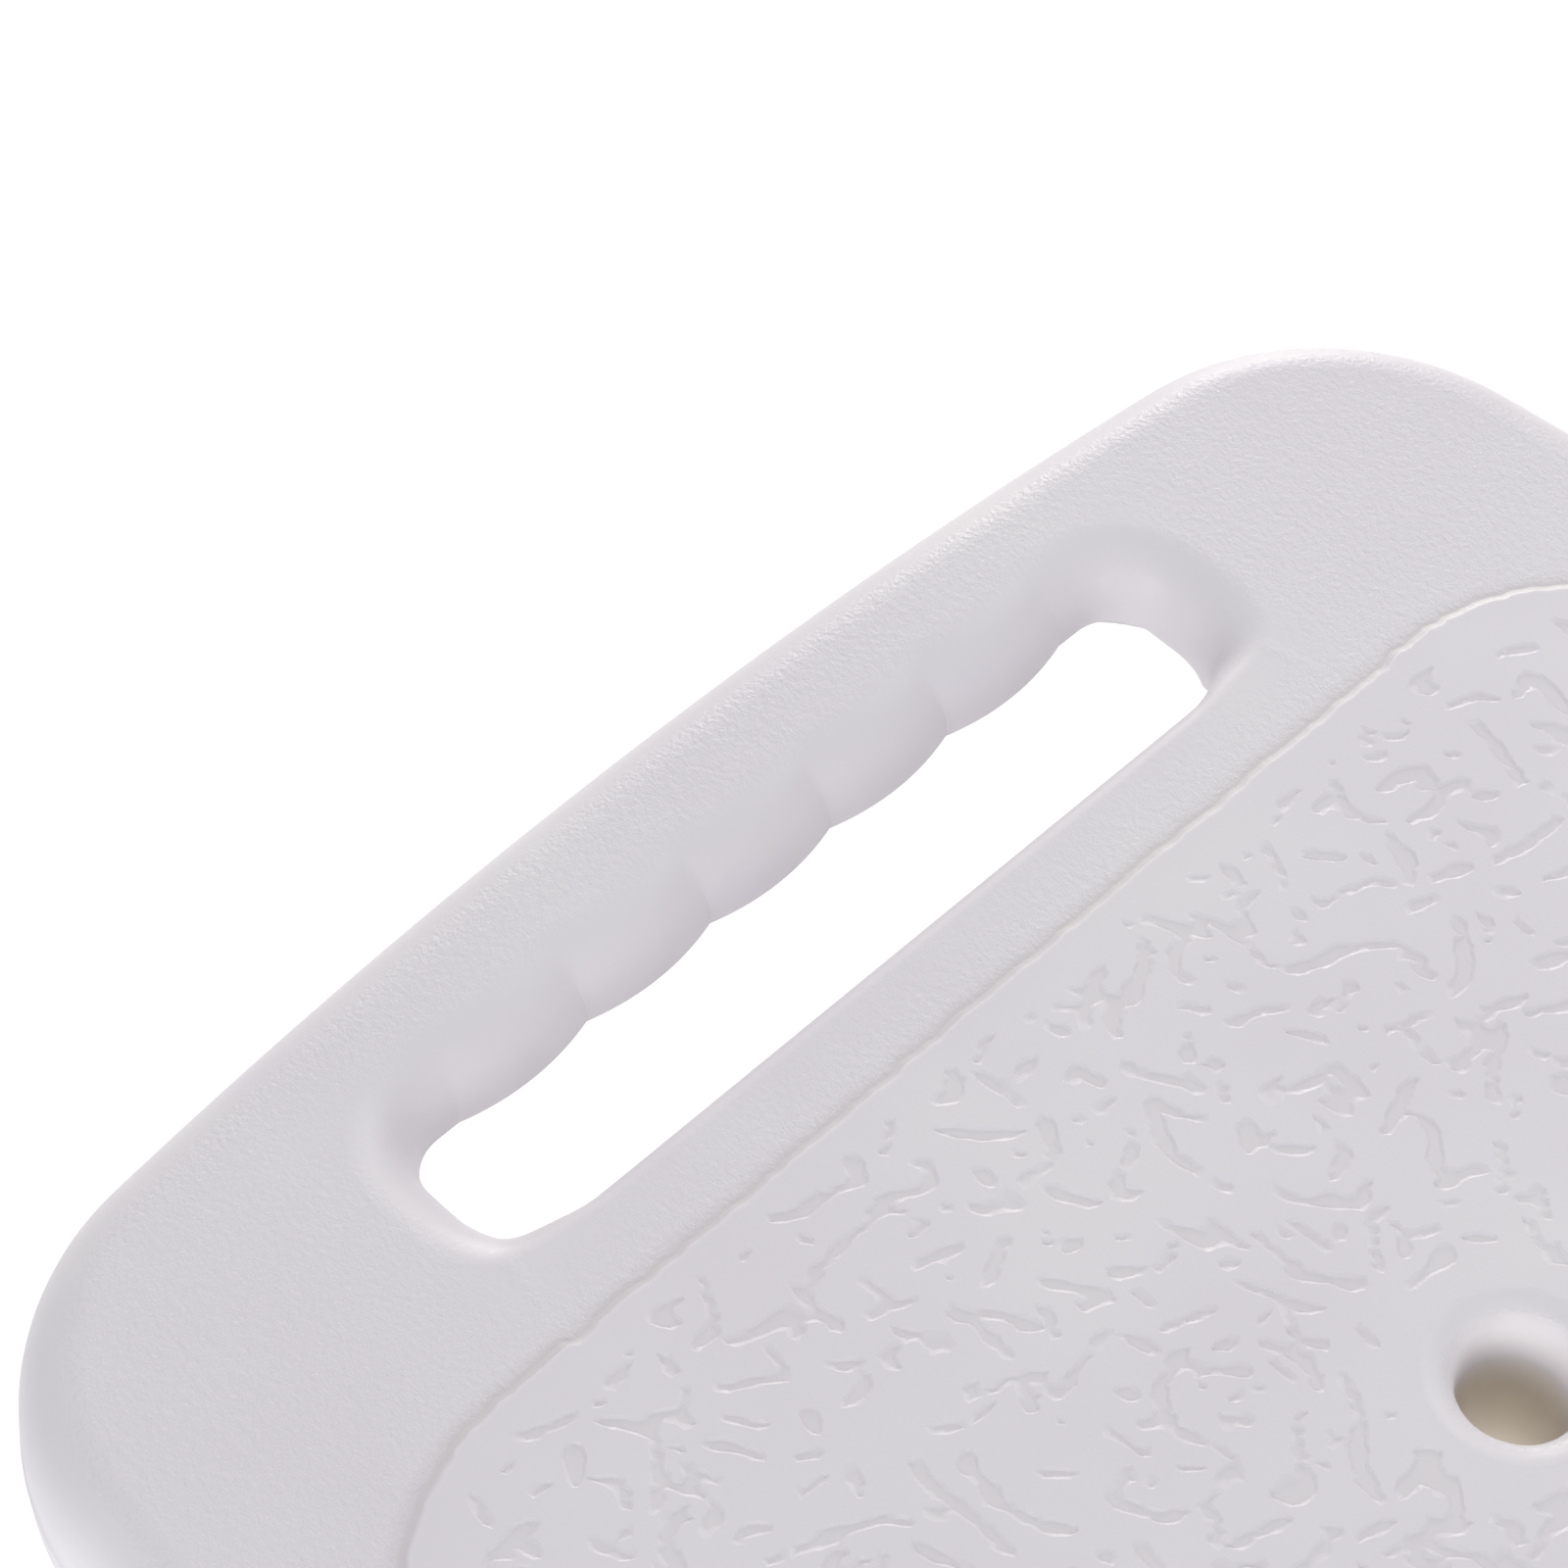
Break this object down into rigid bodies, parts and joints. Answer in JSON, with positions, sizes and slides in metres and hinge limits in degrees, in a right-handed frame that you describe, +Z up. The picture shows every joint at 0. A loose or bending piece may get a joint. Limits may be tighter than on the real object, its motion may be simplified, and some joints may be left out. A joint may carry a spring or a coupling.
{
  "type": "shower stool",
  "caption": "Bath stool: a hollow moulded seat board with hand slots at both ends and a textured seating panel, on bent tube frames with height-adjustable legs and rubber tips.",
  "frame": {"origin": "on the floor under the middle of the seat board", "axes": "+X along the seat towards its right end, +Y across it towards the back, +Z up"},
  "size_m": [0.5, 0.3732, 0.365],
  "materials": {
    "seat_moulding": "fine-grained blow-moulded polyethylene, warm white, polished round the grips",
    "plastic_fittings": "satin moulded nylon",
    "anodised_tube": "clear anodised, fine drawn lines",
    "insert_brass": "turned",
    "rubber_tip": "grey non-marking rubber",
    "steel_hardware": "zinc-plated"
  },
  "bodies": {
    "stool": {"seat_board": "seat_moulding", "vent_plug": "plastic_fittings", "seat_inserts": "insert_brass", "frame_tube_left": "anodised_tube", "frame_tube_right": "anodised_tube", "saddle_front_left": "plastic_fittings", "saddle_front_right": "plastic_fittings", "saddle_back_left": "plastic_fittings", "saddle_back_right": "plastic_fittings", "saddle_screws": "steel_hardware", "saddle_washers": "steel_hardware", "brace_collar_front_left": "plastic_fittings", "brace_collar_front_right": "plastic_fittings", "brace_collar_back_left": "plastic_fittings", "brace_collar_back_right": "plastic_fittings", "brace_bar_upper": "anodised_tube", "brace_bar_lower": "anodised_tube", "brace_rivets": "steel_hardware", "brace_bolt": "steel_hardware", "brace_washers": "steel_hardware", "brace_nut": "steel_hardware"},
    "leg_front_left": {"leg_extension_front_left": "anodised_tube", "spring_clip_front_left": "steel_hardware", "foot_tip_front_left": "rubber_tip", "foot_disc_front_left": "steel_hardware"},
    "leg_front_right": {"leg_extension_front_right": "anodised_tube", "spring_clip_front_right": "steel_hardware", "foot_tip_front_right": "rubber_tip", "foot_disc_front_right": "steel_hardware"},
    "leg_back_left": {"leg_extension_back_left": "anodised_tube", "spring_clip_back_left": "steel_hardware", "foot_tip_back_left": "rubber_tip", "foot_disc_back_left": "steel_hardware"},
    "leg_back_right": {"leg_extension_back_right": "anodised_tube", "spring_clip_back_right": "steel_hardware", "foot_tip_back_right": "rubber_tip", "foot_disc_back_right": "steel_hardware"},
    "button_front_left": {"snap_button_front_left": "steel_hardware"},
    "button_front_right": {"snap_button_front_right": "steel_hardware"},
    "button_back_left": {"snap_button_back_left": "steel_hardware"},
    "button_back_right": {"snap_button_back_right": "steel_hardware"}
  },
  "joints": [
    {"name": "leg_slide_front_left", "type": "slide", "parent": "stool", "child": "leg_front_left", "axis": [-0.1384, -0.1045, -0.9848], "range_m": [0, 0.15]},
    {"name": "leg_slide_front_right", "type": "slide", "parent": "stool", "child": "leg_front_right", "axis": [0.1384, -0.1045, -0.9848], "range_m": [0, 0.15]},
    {"name": "leg_slide_back_left", "type": "slide", "parent": "stool", "child": "leg_back_left", "axis": [-0.1384, 0.1045, -0.9848], "range_m": [0, 0.15]},
    {"name": "leg_slide_back_right", "type": "slide", "parent": "stool", "child": "leg_back_right", "axis": [0.1384, 0.1045, -0.9848], "range_m": [0, 0.15]},
    {"name": "button_press_front_left", "type": "slide", "parent": "leg_front_left", "child": "button_front_left", "axis": [-0.9903, 0, 0.1392], "range_m": [-0.0055, 0], "stiffness_N_per_m": 900, "springref_m": 0.002, "deforming": ["spring_clip_front_left"]},
    {"name": "button_press_front_right", "type": "slide", "parent": "leg_front_right", "child": "button_front_right", "axis": [0.9903, 0, 0.1392], "range_m": [-0.0055, 0], "stiffness_N_per_m": 900, "springref_m": 0.002, "deforming": ["spring_clip_front_right"]},
    {"name": "button_press_back_left", "type": "slide", "parent": "leg_back_left", "child": "button_back_left", "axis": [-0.9903, 0, 0.1392], "range_m": [-0.0055, 0], "stiffness_N_per_m": 900, "springref_m": 0.002, "deforming": ["spring_clip_back_left"]},
    {"name": "button_press_back_right", "type": "slide", "parent": "leg_back_right", "child": "button_back_right", "axis": [0.9903, 0, 0.1392], "range_m": [-0.0055, 0], "stiffness_N_per_m": 900, "springref_m": 0.002, "deforming": ["spring_clip_back_right"]}
  ]
}
